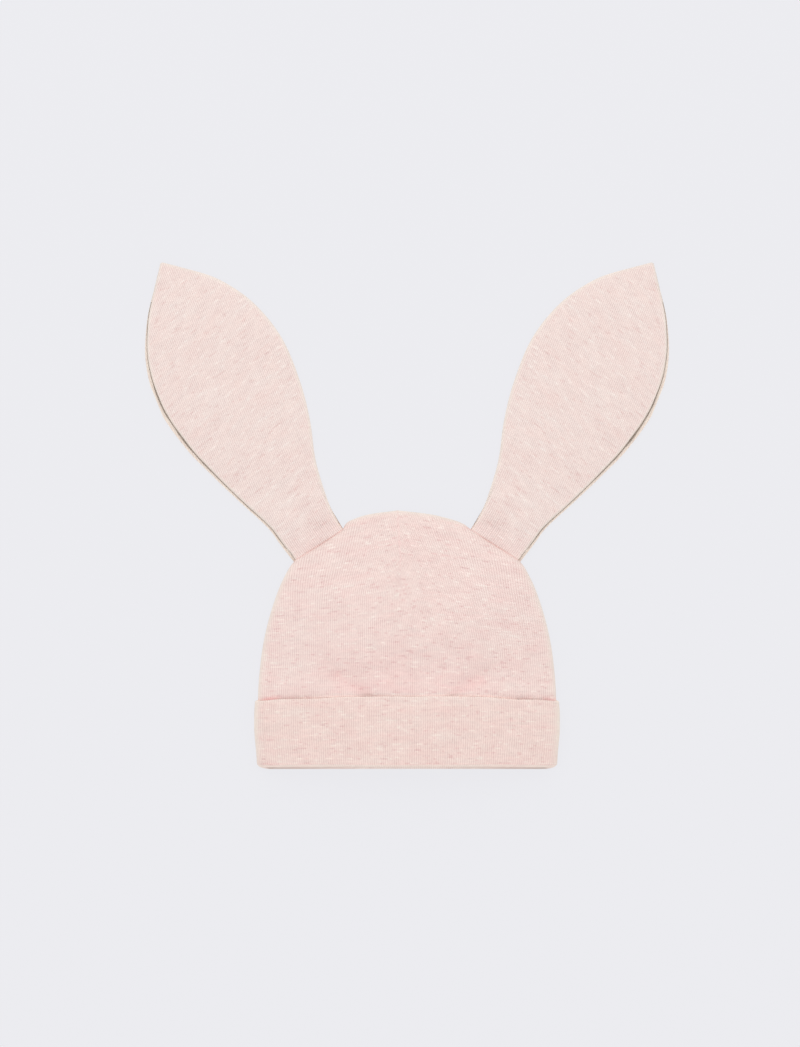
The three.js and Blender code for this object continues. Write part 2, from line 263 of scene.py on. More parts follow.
def ripple(x, y, seed):
    """Slow unevenness of cloth, from -2 to 2 but mostly within 1."""
    phases = np.random.default_rng(seed).uniform(0, 2 * math.pi, len(RIPPLE_WAVES))
    total = sum(np.sin(kx * x + ky * y + phase) for (kx, ky), phase in zip(RIPPLE_WAVES, phases))
    return total / (len(RIPPLE_WAVES) / 2)


# ---- form of the crown

def crown_outline(out, half=CROWN_OUTLINE):
    """Left mouth corner, over the apex, to the right mouth corner, moved out by a distance."""
    right = spline(half, per_span=24)
    ear_y = EAR_SEAM_INNER[1]
    pull = APEX_SHIFT * np.clip((right[:, 1] - ear_y) / (APEX_Y - ear_y), 0, 1)
    left = np.column_stack([-right[:, 0] + pull, right[:, 1]])
    right = np.column_stack([right[:, 0] + pull, right[:, 1]])
    line = np.vstack([left, right[-2::-1]])
    moved = line + edge_normals(line) * out
    # Beside the ears the line turns inward, and the moved line would cross itself.
    clear = np.linalg.norm(moved[:, None, :] - line[None, :, :], axis=2).min(1) > out - ON_OUTLINE
    return moved[clear]


PATTERN_EXTRA = (math.pi / 2 - 1) * FOLD_RADIUS
INNER_ENDS = [(-EAR_SEAM_INNER[0], EAR_SEAM_INNER[1]), EAR_SEAM_INNER]
OUTER_ENDS = [(-EAR_SEAM_OUTER[0], EAR_SEAM_OUTER[1]), EAR_SEAM_OUTER]
RIDGE_ENDS = [(RIDGE_SHIFT - RIDGE_REACH, RIDGE_Y), (RIDGE_SHIFT + RIDGE_REACH, RIDGE_Y)]
EAR_SEAMS = list(zip(OUTER_ENDS, INNER_ENDS))
RIDGES = list(zip(INNER_ENDS, RIDGE_ENDS))
loft_edge = crown_outline(0, WITHOUT_SHOULDERS)
crown_pattern = crown_outline(PATTERN_EXTRA)
top_index = int(crown_pattern[:, 1].argmax())


def pattern_side(y, side):
    """X of the crown's pattern on its left (-1) or right (1) at heights y."""
    half = crown_pattern[:top_index + 1] if side < 0 else crown_pattern[top_index:][::-1]
    return np.interp(y, half[:, 1], half[:, 0], right=half[-1, 0])


def skin_half_width(y):
    """Half the width of the crown's straight part at heights y."""
    return np.interp(y, [row[1] for row in CROWN_SIDE], [row[0] for row in CROWN_SIDE])


def back_height(y):
    """How far the cuff holds the crown's back off the floor."""
    return (WALL + GAP) * (1 - smooth(*SETTLE_Y, y))


def rho_of(x, y):
    """0 on the middle line of the crown and 1 at its edge."""
    line = loft_edge - np.array([0, DOME_CENTRE_Y])
    dome = line[:, 1] > 0
    angle = np.arctan2(line[dome, 0], line[dome, 1])
    reach = np.linalg.norm(line[dome], axis=1)
    here = np.interp(np.arctan2(x, np.maximum(y - DOME_CENTRE_Y, 1e-6)), angle, reach)
    flat = np.abs(x) / skin_half_width(y)
    return np.clip(np.where(y > DOME_CENTRE_Y, np.hypot(x, y - DOME_CENTRE_Y) / here, flat), 0, 1)


def front_loft(y, rho):
    """How far the front stands up over the crown's edge."""
    loft = LOFT_AT_CUFF + (LOFT_AT_DOME - LOFT_AT_CUFF) * smooth(*LOFT_Y, y)
    return loft * (1 - rho ** LOFT_POWER)


def valley_depth(x, y):
    """How deep the valleys and the short folds of the crown's front are."""
    depth = 0
    for v in CROWN_VALLEYS:
        across, up = x / v["half"][0], (y - v["centre_y"]) / v["half"][1]
        angle = np.degrees(np.arctan2(np.abs(across), -up))
        depth = depth + (v["depth"] * bell(np.hypot(across, up) - 1, v["width"])
                         * bell(angle - v["at"], v["spread"]))
    return depth + soft_line(RELIEF["fold"], from_segments(x, y, CROWN_FOLDS))


CUFF_TOP_WAVE = 0.35


def cuff_top(x):
    """Height of the cuff's top edge, lower at both ends and a little uneven."""
    uneven = CUFF_TOP_WAVE * ripple(x, 0 * x, SEEDS["cuff_top"])
    return CUFF_HEIGHT - CUFF_END_DROP * (x / CUFF_HALF) ** 2 + uneven


def cuff_bulge(x, y):
    """The front swells a little just above the edge of the cuff."""
    above = y - cuff_top(x)
    starts, full, reach = -0.6, 2.0, 60
    return soft_line(RELIEF["bulge"], above) * smooth(starts, full, above) * bell(x, reach)


def front_rise(y, z):
    """The front half of the cuff's fold sits a little further up the hat than the back half."""
    top = back_height(y) + 2 * FOLD_RADIUS + LOFT_AT_CUFF
    return CUFF_FRONT_RISE * np.clip(1 - y / CUFF_HEIGHT, 0, 1) * np.clip(z / top, 0, 1)


# How the wales run: straight up from the cuff, then leaning in from both sides, close together
# under the tip of the dart and sewn away in it above.
LEAN_FROM_Y, LEAN_TO_Y, LEAN_SLOPE, LEAN_REACH = 45.0, 110.0, 0.31, 76.0
DART_X, DART_TIP_Y = -3.5, 98.0
DART_DRIFT_Y, DART_TURN_Y = (60, 104), 110  # it drifts off the middle, and then turns to the apex
CROWDED = 20.0  # how far from the middle the wales crowd below the dart
CROWDED_IN_DART = 0.02
CROWDED_FADE = (-16, 6)  # below and above the dart's tip
FLOW_STEP = 0.25
FLOW_FROM_Y = 34.0


def dart_x(y):
    """X of the line that the wales lean toward, which is the dart's higher up."""
    drift = DART_X * smooth(*DART_DRIFT_Y, y)
    return drift + (APEX_SHIFT - DART_X) * smooth(DART_TURN_Y, APEX_Y, y)


def by_dart_tip(below, above, y):
    """0 to 1 from a distance below the dart's tip to a distance above it."""
    return smooth(DART_TIP_Y + below, DART_TIP_Y + above, y)


def wale_flow(u, widest):
    """Heights, and for each of them the distance of every wale from the dart's line."""
    heights = np.arange(FLOW_FROM_Y, APEX_Y + PATTERN_EXTRA + 1, FLOW_STEP)
    spread = pattern_side(np.minimum(heights, DOME_CENTRE_Y), 1) / widest
    q = np.abs(u) * spread[0]
    rows = [q]
    for k in range(1, len(heights)):
        y = heights[k]
        slope = LEAN_SLOPE * np.clip((y - LEAN_FROM_Y) / (LEAN_TO_Y - LEAN_FROM_Y), 0, 1)
        crowd = CROWDED * (1 - by_dart_tip(*CROWDED_FADE, y)) + CROWDED_IN_DART
        held = np.clip(1 - (np.abs(q) / LEAN_REACH) ** 2, 0, 1) * (1 - np.exp(-np.abs(q) / crowd))
        q = q * spread[k] / spread[k - 1] - FLOW_STEP * slope * held
        rows.append(q)
    return heights, np.array(rows)


# ---- meshes of knit

def grid_faces(rows, columns, flip=False):
    i, j = np.meshgrid(np.arange(rows - 1), np.arange(columns - 1), indexing="ij")
    a = i * columns + j
    quads = np.stack([a, a + 1, a + columns + 1, a + columns], axis=2).reshape(-1, 4)
    return quads[:, ::-1] if flip else quads


def ring_faces(outer, inner, flip=False):
    """A strip between two closed loops of vertex numbers."""
    a, b = np.asarray(outer), np.asarray(inner)
    quads = np.column_stack([a, np.roll(a, -1), np.roll(b, -1), b])
    return quads[:, ::-1] if flip else quads


def border(rows, columns):
    """Vertex numbers around a grid, once."""
    index = np.arange(rows * columns).reshape(rows, columns)
    return np.concatenate([index[0], index[1:, -1], index[-1, -2::-1], index[-2:0:-1, 0]])


def slab(outer, inner, flip=False, sewn=None):
    """Points and faces of a closed sheet of cloth, from two grids of the same shape.

    sewn marks the columns whose last points are joined to each other, with no edge of cloth.
    """
    rows, columns = outer.shape[:2]
    count = rows * columns
    ring = border(rows, columns)
    rim = ring_faces(ring, ring + count, not flip)
    if sewn is not None:
        joined = np.zeros(2 * count, bool)
        joined[(rows - 1) * columns:count] = sewn
        joined[2 * count - columns:] = sewn
        rim = rim[~joined[rim].all(1)]
    over, under = grid_faces(rows, columns, flip), grid_faces(rows, columns, not flip) + count
    points = np.vstack([outer.reshape(-1, 3), inner.reshape(-1, 3)])
    return points, np.vstack([over, under, rim])


SHARP_DEGREES = 72
WELD_METRES, SHRUNK_METRES = 2e-6, 1e-6


def cloth_object(name, points, faces, knit, marks, material, node, weld=True):
    """Makes a piece of the hat from points in the hat's place, in millimetres, and rides it.

    knit is the pair of grids (place across the wales, place along them), and marks holds grids
    that the material reads. A closed sheet has each of them on both of its faces.
    """
    placed = (points + np.array([0, FOLD_Y, 0])) * MM
    mesh = bpy.data.meshes.new(name)
    mesh.from_pydata(placed, [], faces)
    mesh.update()
    copies = len(points) // knit[0].size
    across_along = np.column_stack([np.tile(grid.ravel(), copies) for grid in knit])
    loops = np.empty(len(mesh.loops), np.int32)
    mesh.loops.foreach_get("vertex_index", loops)
    uv = mesh.uv_layers.new(name="Knit")
    uv.data.foreach_set("uv", across_along[loops].astype(np.float32).ravel())
    for mark, grid in marks.items():
        layer = mesh.attributes.new(mark, "FLOAT", "POINT")
        values = np.clip(np.tile(np.asarray(grid).ravel(), copies), -1, 1)
        layer.data.foreach_set("value", values.astype(np.float32))
    mesh.materials.append(material)
    piece = bpy.data.objects.new(name, mesh)
    bpy.context.scene.collection.objects.link(piece)
    if weld:
        weld_close(mesh)
    mesh.shade_smooth()
    mesh.set_sharp_from_angle(angle=math.radians(SHARP_DEGREES))
    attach(piece, "root")
    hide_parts(node)
    return piece


def weld_close(mesh):
    """Joins points that lie on each other, and drops faces that this closes up."""
    work = bmesh.new()
    work.from_mesh(mesh)
    bmesh.ops.remove_doubles(work, verts=work.verts, dist=WELD_METRES)
    bmesh.ops.dissolve_degenerate(work, edges=work.edges, dist=SHRUNK_METRES)
    work.to_mesh(mesh)
    work.free()


# ---- materials

class Nodes:
    """Short ways to add shader nodes."""

    def __init__(self, name):
        self.material = bpy.data.materials.new(name)
        self.material.use_nodes = True
        self.tree = self.material.node_tree
        self.tree.nodes.clear()

    def add(self, kind, **settings):
        node = self.tree.nodes.new(kind)
        for key, value in settings.items():
            setattr(node, key, value)
        return node

    def put(self, value, socket):
        if isinstance(value, bpy.types.NodeSocket):
            self.tree.links.new(value, socket)
        else:
            socket.default_value = value

    def maths(self, operation, a, b=0.0, c=0.0):
        node = self.add("ShaderNodeMath", operation=operation)
        for value, socket in zip((a, b, c), node.inputs):
            self.put(value, socket)
        return node.outputs[0]

    def vector_maths(self, operation, *values):
        node = self.add("ShaderNodeVectorMath", operation=operation)
        for value, socket in zip(values, node.inputs):
            self.put(value, socket)
        return node.outputs[0]

    def vector(self, x, y, z=0.0):
        node = self.add("ShaderNodeCombineXYZ")
        for value, socket in zip((x, y, z), node.inputs):
            self.put(value, socket)
        return node.outputs[0]

    def fill(self, node, inputs):
        for name, value in inputs.items():
            self.put(value, node.inputs[name])
        return node

    def noise(self, vector, detail):
        node = self.add("ShaderNodeTexNoise")
        self.fill(node, {"Vector": vector, "Scale": 1.0, "Detail": detail, "Roughness": 0.5})
        return node.outputs["Fac"]

    def spread(self, value, low, high):
        """0 to 1 as the value goes from low to high."""
        node = self.add("ShaderNodeMapRange", interpolation_type="SMOOTHSTEP")
        self.fill(node, {"Value": value, "From Min": low, "From Max": high})
        return node.outputs["Result"]

    def surface(self, inputs):
        """The finished material, whose one shader has these inputs."""
        shader = self.fill(self.add("ShaderNodeBsdfPrincipled"), inputs)
        output = self.add("ShaderNodeOutputMaterial")
        self.put(shader.outputs[0], output.inputs["Surface"])
        return self.material

    def mix(self, share, a, b):
        node = self.add("ShaderNodeMix", data_type="RGBA")
        self.put(share, node.inputs[0])
        self.put(a, node.inputs[6])
        self.put(b, node.inputs[7])
        return node.outputs[2]


def linear(r, g, b):
    """A colour given as it looks on a screen, 0 to 255, as the light it stands for."""
    values = [c / 255 for c in (r, g, b)]
    return tuple(c / 12.92 if c <= 0.04045 else ((c + 0.055) / 1.055) ** 2.4 for c in values) + (1.0,)


# What a painted shade of 1, in a groove or in a crease, adds to the share of red, green and blue that the
# cloth keeps.
GROOVE_SHADE_TINT = (-0.70, -1.0, -0.94)
PAINTED_SHADE_TINT = (0.16, -0.42, -0.36)
PAINTED_LIGHT_TINT = (-1.0, -1.0, -1.0)  # for painted light, where the mark is below 0
WHOLE = (1.0, 1.0, 1.0)
STITCH_RELIEF = 0.0006  # in metres
ROW_APART = 7.31  # in the noise, from row to row of stitches


def knit_material(name, cream, pink, edge, wale, seed, melange=1.0):
    """Fine rib jersey spun from cream and pink fibre: the colour changes along every course.

    The seed sets where its spots of colour lie, and melange how strong they are. Shade is painted into
    the grooves between the ribs, and marks on the mesh add painted highlights and painted shade at edges,
    seams and creases.
    """
    n = Nodes(name)
    knit = n.add("ShaderNodeUVMap", uv_map="Knit").outputs["UV"]
    split = n.add("ShaderNodeSeparateXYZ")
    n.put(knit, split.inputs[0])
    u, v = split.outputs[0], split.outputs[1]
    wale_number = n.maths("DIVIDE", u, wale)
    across = n.maths("MULTIPLY", n.maths("PINGPONG", wale_number, 0.5), 2.0)  # 0 ridge, 1 groove
    course = n.maths("DIVIDE", v, COURSE)
    row = n.maths("FLOOR", n.maths("MULTIPLY_ADD", across, 0.3, course))

    def field(length, along, offset, detail=1.0, per_row=False):
        """Noise from -0.5 to 0.5 whose spots are length wide and, unless per row, along high."""
        up = n.maths("MULTIPLY", row, ROW_APART) if per_row else n.maths("DIVIDE", v, along)
        spot = n.noise(n.vector(n.maths("DIVIDE", u, length), up, seed + offset), detail)
        return n.maths("SUBTRACT", spot, 0.5)

    blotch = field(13.0, 5.0, 0.0, 2.0)
    yarn = field(6.5, 1.0, 11.0, 1.0, per_row=True)
    broad = field(26.0, 13.0, 23.0)
    leg = field(wale * 0.52, 1.5, 31.0, 0.0)
    fuzz = field(0.35, 0.35, 47.0, 2.0)
    dash = n.spread(field(4.5, 1.0, 53.0, 0.0, per_row=True), 0.16, 0.27)
    fleck = n.spread(field(5.0, 1.0, 61.0, 0.0, per_row=True), 0.15, 0.27)

    pinkness = 0.5
    for spots, share in ((blotch, 1.2), (yarn, 0.45), (broad, 0.5), (dash, 0.4), (fleck, -0.35)):
        pinkness = n.maths("MULTIPLY_ADD", spots, share * melange, pinkness)
    colour = n.mix(pinkness, linear(*cream), linear(*pink))

    # Painted shade in the grooves between the ribs, stronger where the knit is tight, and the fibre
    # colour of the two legs of each stitch.
    groove_shade = n.add("ShaderNodeAttribute", attribute_name="groove").outputs["Fac"]
    groove = n.maths("POWER", across, 1.6)
    depth = n.maths("MULTIPLY_ADD", field(7.0, 6.0, 71.0), 0.28, n.maths("MULTIPLY", groove_shade, 0.34))
    groove_shade_and_fibre = n.maths("MULTIPLY", groove, depth)
    for spots, share in ((leg, -0.16 * melange), (yarn, -0.28 * melange), (blotch, -0.09), (fuzz, -0.05),
                         (dash, 0.07 * melange), (fleck, -0.05 * melange)):
        groove_shade_and_fibre = n.maths("MULTIPLY_ADD", spots, share, groove_shade_and_fibre)
    groove_shade_and_fibre = n.maths("SUBTRACT", groove_shade_and_fibre, 0.06)
    shaded = n.vector_maths("MULTIPLY", colour, n.vector_maths("MULTIPLY_ADD", groove_shade_and_fibre, GROOVE_SHADE_TINT, WHOLE))

    # Painted highlight: near edges the colour goes toward the edge colour, which on the seam's dark tube
    # is a painted shadow instead. Then painted shade in creases, seams and gaps, and painted light where
    # that mark is below 0.
    painted_edge_light_and_shade = n.add("ShaderNodeAttribute", attribute_name="painted_edge_light_and_shade").outputs["Fac"]
    painted_shade_and_light = n.add("ShaderNodeAttribute", attribute_name="painted_shade_and_light").outputs["Fac"]
    with_painted_edges = n.mix(painted_edge_light_and_shade, shaded, linear(*edge))
    kept = n.vector_maths("MULTIPLY_ADD", n.maths("MAXIMUM", painted_shade_and_light, 0.0), PAINTED_SHADE_TINT, WHOLE)
    kept = n.vector_maths("MULTIPLY_ADD", n.maths("MINIMUM", painted_shade_and_light, 0.0), PAINTED_LIGHT_TINT, kept)
    colour_with_painted_light = n.vector_maths("MULTIPLY", with_painted_edges, kept)

    # Each stitch is a small loop on its rib.
    turns = n.maths("MULTIPLY_ADD", across, 0.45, course)
    loop = n.maths("SINE", n.maths("MULTIPLY", turns, 2 * math.pi))
    ridge = n.maths("SUBTRACT", 1.0, groove)
    height = n.maths("MULTIPLY_ADD", loop, 0.10, n.maths("MULTIPLY", ridge, 0.14))
    height = n.maths("MULTIPLY_ADD", fuzz, 0.08, height)
    bump = n.add("ShaderNodeBump")
    n.fill(bump, {"Strength": 0.4, "Distance": STITCH_RELIEF, "Height": height})
    return n.surface({
        "Base Color": colour_with_painted_light, "Roughness": 0.95, "Specular IOR Level": 0.15, "Sheen Weight": 0.2,
        "Sheen Roughness": 0.6, "Sheen Tint": linear(250, 240, 230), "Normal": bump.outputs[0],
    })


# Each knit's colours of cream fibre and pink fibre, and the colour it goes toward at its painted edges,
# as they look on a screen. That is a painted highlight, and on the back's knit the dark painted shadow of
# the seam.
EDGE_HIGHLIGHT = (241, 232, 220)
SEAM_SHADOW = (150, 136, 124)
crown_knit = knit_material("crown_knit", (237, 221, 214), (232, 203, 198), EDGE_HIGHLIGHT, CROWN_WALE, 3.0)
cuff_knit = knit_material("cuff_knit", (236, 219, 211), (232, 202, 196), EDGE_HIGHLIGHT, CUFF_WALE, 117.0)
ear_knit = knit_material("ear_knit", (236, 223, 217), (232, 208, 202), EDGE_HIGHLIGHT, EAR_WALE, 229.0, 0.8)
ear_back_knit = knit_material(
    "ear_back_knit", (230, 219, 206), (224, 207, 197), SEAM_SHADOW, EAR_WALE, 341.0, 0.8)


# ---- crown

def rib(u, pitch, height):
    """Height of the ribs across the wales, up and down from their middle."""
    return height / 2 * np.cos(2 * math.pi * u / pitch)


SEWN_AWAY = 0.03  # a wale this close to the dart's line goes no further


def column_ends(u, heights, q):
    """The height at which each wale ends, on the seam or on the dart, and which of the two."""
    x = np.sign(u)[:, None] * q.T + dart_x(heights)
    to_seam = np.minimum(pattern_side(heights, 1) - x, x - pattern_side(heights, -1))
    to_dart = np.where(heights < DART_TIP_Y, 1.0, q.T - SEWN_AWAY)
    room = np.minimum(to_seam, to_dart)
    gone = room < 0
    last = np.where(gone.any(1), gone.argmax(1), len(heights) - 1)
    last = np.maximum(last, 1)
    rows = np.arange(len(u))
    before, after = room[rows, last - 1], room[rows, last]
    share = np.clip(before / np.maximum(before - after, 1e-9), 0, 1)
    ends = heights[last - 1] + share * FLOW_STEP
    on_dart = (to_dart < to_seam)[rows, last] & gone[rows, last]
    return ends, on_dart


ROWS_IN_CUFF = [MOUTH_Y, 10.0, 18.0, 26.0]
ROWS_BY_CUFF = [-3.0, -1.2, -0.3, 0.2, 0.6, 1.0, 1.5, 2.1, 3.0, 4.2, 5.6]  # from the cuff's top edge
ROWS_LEVEL_FROM_Y = 48.5
ROWS_EVEN, ROWS_CLOSER = 0.42, 0.58  # shares of the row spacing, even or closer near the top
MIDDLE_WALE_SHORT = 0.3
RIB_FROM_Y = (24, 32)  # no ribs below, where the cuff hides them
RIB_ON_BACK = 0.3  # share of the ribs' height where the hat is pressed flat
DART_LINE = 0.5  # the ribs stop this close to the dart's line
CROWN_WAVE = 0.28
FRONT_LIFT, BACK_LIFT = 0.04, 0.02  # keep the two panels and the floor apart
CROWN_CORNER_X = (53, 68)  # where the shadow of the cuff's raised ends begins


def crown_panel(name, front, sides, rows_up):
    """The front or back panel of the crown, as a closed sheet.

    Rows follow the cuff's top edge beside it and are level higher up. A wale that ends below a
    row repeats its end there, and such points are welded.
    """
    widest = float(pattern_side(np.array([WIDEST_Y]), 1)[0])
    half = int(round(widest / (CROWN_WALE / sides)))
    u = np.linspace(-widest, widest, 2 * half + 1)
    heights, q = wale_flow(u, widest)
    ends, on_dart = column_ends(u, heights, q)
    ends[half] = ends[half + 1] - MIDDLE_WALE_SHORT
    on_dart[half] = True
    on_dart &= on_dart[::-1]

    in_cuff = np.array(ROWS_IN_CUFF)[:, None] + 0 * u
    by_cuff = np.array(ROWS_BY_CUFF)[:, None] + cuff_top(u)
    share = np.linspace(0, 1, rows_up)[:, None]
    share = ROWS_EVEN * share + ROWS_CLOSER * np.sin(share * math.pi / 2)
    levels = ROWS_LEVEL_FROM_Y + (ends.max() - ROWS_LEVEL_FROM_Y) * share + 0 * u
    y = np.minimum(np.vstack([in_cuff, by_cuff, levels, ends]), ends)
    uu = u + 0 * y
    flow_row = np.clip((y - FLOW_FROM_Y) / FLOW_STEP, 0, len(heights) - 1.001)
    step = flow_row.astype(int)
    columns = np.arange(len(u))[None, :]
    away = q[step, columns] + (flow_row - step) * (q[step + 1, columns] - q[step, columns])
    narrowing = pattern_side(np.minimum(y, FLOW_FROM_Y), 1) / pattern_side(FLOW_FROM_Y, 1)
    x = np.sign(uu) * away * narrowing + dart_x(y)
    x = np.where(on_dart & (y >= ends), dart_x(ends), x)
    pattern = np.column_stack([x.ravel(), y.ravel()])

    # Wrap the pattern's margin round the fold: s is the way in from the seam along the cloth.
    s, inward = to_edge(pattern, crown_pattern)
    s = s.reshape(y.shape)
    angle = np.clip(s / FOLD_RADIUS, 0, math.pi / 2)
    bent = s < FOLD_RADIUS * math.pi / 2
    plan = s - PATTERN_EXTRA
    edge_out = np.where(bent, FOLD_RADIUS * (1 - np.cos(angle)) - plan, 0)
    edge_in = np.where(bent, FOLD_RADIUS - (FOLD_RADIUS - WALL) * np.cos(angle) - plan, 0)
    nx, ny = inward[:, 0].reshape(y.shape), inward[:, 1].reshape(y.shape)

    def surface(shift, radius, ribbed):
        px, py = x + nx * shift, y + ny * shift
        middle = back_height(py) + FOLD_RADIUS
        lift = radius * np.sin(angle)
        off_dart = px - dart_x(py)
        knit = rib(uu, CROWN_WALE, CROWN_RIB) * np.sin(angle) * smooth(*RIB_FROM_Y, y) if ribbed else 0.0
        knit = knit * (1 - bell(off_dart, DART_LINE) * by_dart_tip(-4, 4, py))
        if front:
            loft = front_loft(py, rho_of(px, py)) * smooth(0, LOFT_MARGIN, s)
            pinch = soft_line(RELIEF["dart_line"], off_dart) + soft_line(RELIEF["dart_valley"], off_dart)
            pinch = pinch * by_dart_tip(-8, 10, py)
            creases = valley_depth(px, py) + pinch * np.sin(angle) - cuff_bulge(px, py)
            wave = CROWN_WAVE * ripple(px, py, SEEDS["crown"]) * np.sin(angle)
            pz = middle + lift + loft - creases + wave + knit + FRONT_LIFT
        else:
            pz = np.maximum(middle - lift - knit * RIB_ON_BACK, BACK_LIFT)
            pz = pz - FRONT_LIFT * (1 - np.sin(angle))
        pz = np.maximum(pz, 0.0)
        return np.stack([px, py + front_rise(py, pz), pz], axis=2)

    outer = surface(edge_out, FOLD_RADIUS, True)
    inner = surface(edge_in, FOLD_RADIUS - WALL, False)
    points, faces = slab(outer, inner, not front, on_dart)

    leaning = 0.5 * LEAN_SLOPE * smooth(LEAN_FROM_Y, LEAN_TO_Y, y)
    courses = y + leaning * np.abs(x - dart_x(y))
    px, py = outer[:, :, 0], outer[:, :, 1]
    seam_gap = from_segments(px, py, EAR_SEAMS)
    # Painted highlight along the crown's edge, except at the ear seams, and the crown's painted shade and
    # painted light.
    painted_edge_light_and_shade = soft_line(PAINTED_EDGE_LIGHT["crown_edge"], s) * (1 - soft_line(PAINTED_EDGE_LIGHT["crown_seam"], seam_gap))
    painted_shade_and_light = crown_painted_shade(px, py, seam_gap, front)
    marks = {"painted_edge_light_and_shade": painted_edge_light_and_shade, "painted_shade_and_light": painted_shade_and_light, "groove": JERSEY_GROOVE + 0 * s}
    return cloth_object(name, points, faces, (uu, courses), marks, crown_knit, "crown")


def crown_painted_shade(x, y, seam_gap, front):
    """The crown's painted shade and painted light: beside the cuff, on the seams, on the dart and in the
    short folds.
    """
    above_cuff = y - cuff_top(x)
    corner = smooth(*CROWN_CORNER_X, np.abs(x)) * (0.75 + 0.25 * ripple(x * 2.2, 0 * y, SEEDS["corner"]))
    on_front = (corner * soft_line(SHADE["cuff_shadow"], np.maximum(above_cuff, 0))
                + bell(x, 46) * soft_line(SHADE["above_cuff"], above_cuff)
                + (1 - corner) * soft_line(SHADE["beside_cuff"], above_cuff)
                + bell(x, 45) * soft_line(SHADE["crown_middle"], y)
                + soft_line(SHADE["fold"], from_segments(x, y, CROWN_FOLDS)))
    on_seam = soft_line(SHADE["beside_seam"], seam_gap) + soft_line(SHADE["seam"], seam_gap)
    ridge = soft_line(SHADE["ridge"], from_segments(x, y, RIDGES)) * smooth(16, 30, np.abs(x + 4))
    dart = soft_line(SHADE["dart"], x - dart_x(y)) * by_dart_tip(2, 14, y)
    return on_front * front + on_seam + ridge + dart


crown_panel("crown_front", True, sides=SIDES_PER_WALE, rows_up=54)
crown_panel("crown_back", False, sides=SIDES_ON_BACK, rows_up=36)


# ---- cuff

FOLD, OUTSIDE, INSIDE = 0, 1, 2  # the parts of the band, round its section
CUFF_PUFF, CUFF_WAVE = 0.7, 0.3
CUFF_THINNED = 0.6  # how much thinner the front is near its edge
CUFF_THIN_FROM, CUFF_THIN_REACH = 9, 75
CUFF_NARROW = {"all": 0.3, "below": 1.0, "above": 0.4}
CUFF_RAISED_X = (48, 66)  # where painted shade begins inside the cuff's raised ends, and the painted light on its edge fades
# The most painted edge highlight on the cuff, and the painted light on the back half of its fold.
CUFF_MOST_PAINTED_LIGHT = 0.85
BACK_FOLD_LIGHT = 0.1


def cuff_section():
    """Rows around the band: height above the fold, distance out from the crown's skin, the
    outward direction in those two, and the row's part of the band."""
    outer, foot_end, foot_top = GAP + WALL, -WALL, MOUTH_Y - GAP
    radius = (outer - foot_end) / 2
    middle = (outer + foot_end) / 2
    rows = []
    edge_from = CUFF_HEIGHT - CUFF_EDGE_RADIUS
    for turn in np.linspace(math.pi, 0, 11)[:-1]:  # the fold, foot to leg
        rows.append((radius * (1 - math.sin(turn)), middle + radius * math.cos(turn),
                     -math.sin(turn), math.cos(turn), FOLD))
    for y in [radius, 2.6, 3.2, *np.linspace(4.2, edge_from, 21)]:  # outside of the leg
        rows.append((y, outer, 0.0, 1.0, OUTSIDE))
    for turn in np.linspace(0, math.pi, 7)[1:-1]:  # its rounded edge
        rows.append((edge_from + CUFF_EDGE_RADIUS * math.sin(turn),
                     outer - CUFF_EDGE_RADIUS + CUFF_EDGE_RADIUS * math.cos(turn),
                     math.sin(turn), math.cos(turn), OUTSIDE))
    for y in np.linspace(edge_from, foot_top, 8):  # inside of the leg
        rows.append((y, GAP, 0.0, -1.0, INSIDE))
    rows.append((foot_top, foot_end, 0.0, -1.0, INSIDE))
    return np.array(rows)


def cuff_path(way, flat, turn_length):
    """Where each wale of the band lies: its share of the flat half-width, and the tilt of its turn.

    The way round goes over the front to the right, round that end, back underneath, and round
    the left end.
    """
    knots = np.cumsum([0, 2 * flat, turn_length, 2 * flat, turn_length])
    share = np.interp(way, knots, [-1, 1, 1, -1, -1])
    tilt = np.interp(way, knots, [math.pi / 2, math.pi / 2, -math.pi / 2, -math.pi / 2, math.pi / 2])
    return share, tilt


def cuff_narrowing(y, part):
    """How far the ends draw in: round the bottom corners, and a little above and below."""
    below = np.clip(1 - y / CORNER_RADIUS, 0, 1)
    corner = CORNER_RADIUS * (1 - np.sqrt(1 - below ** 2))
    low = CUFF_NARROW["below"] * (1 - smooth(3, 24, y))
    high = CUFF_NARROW["above"] * smooth(32, CUFF_HEIGHT, y) * (part == OUTSIDE)
    return corner + low + CUFF_NARROW["all"] + high


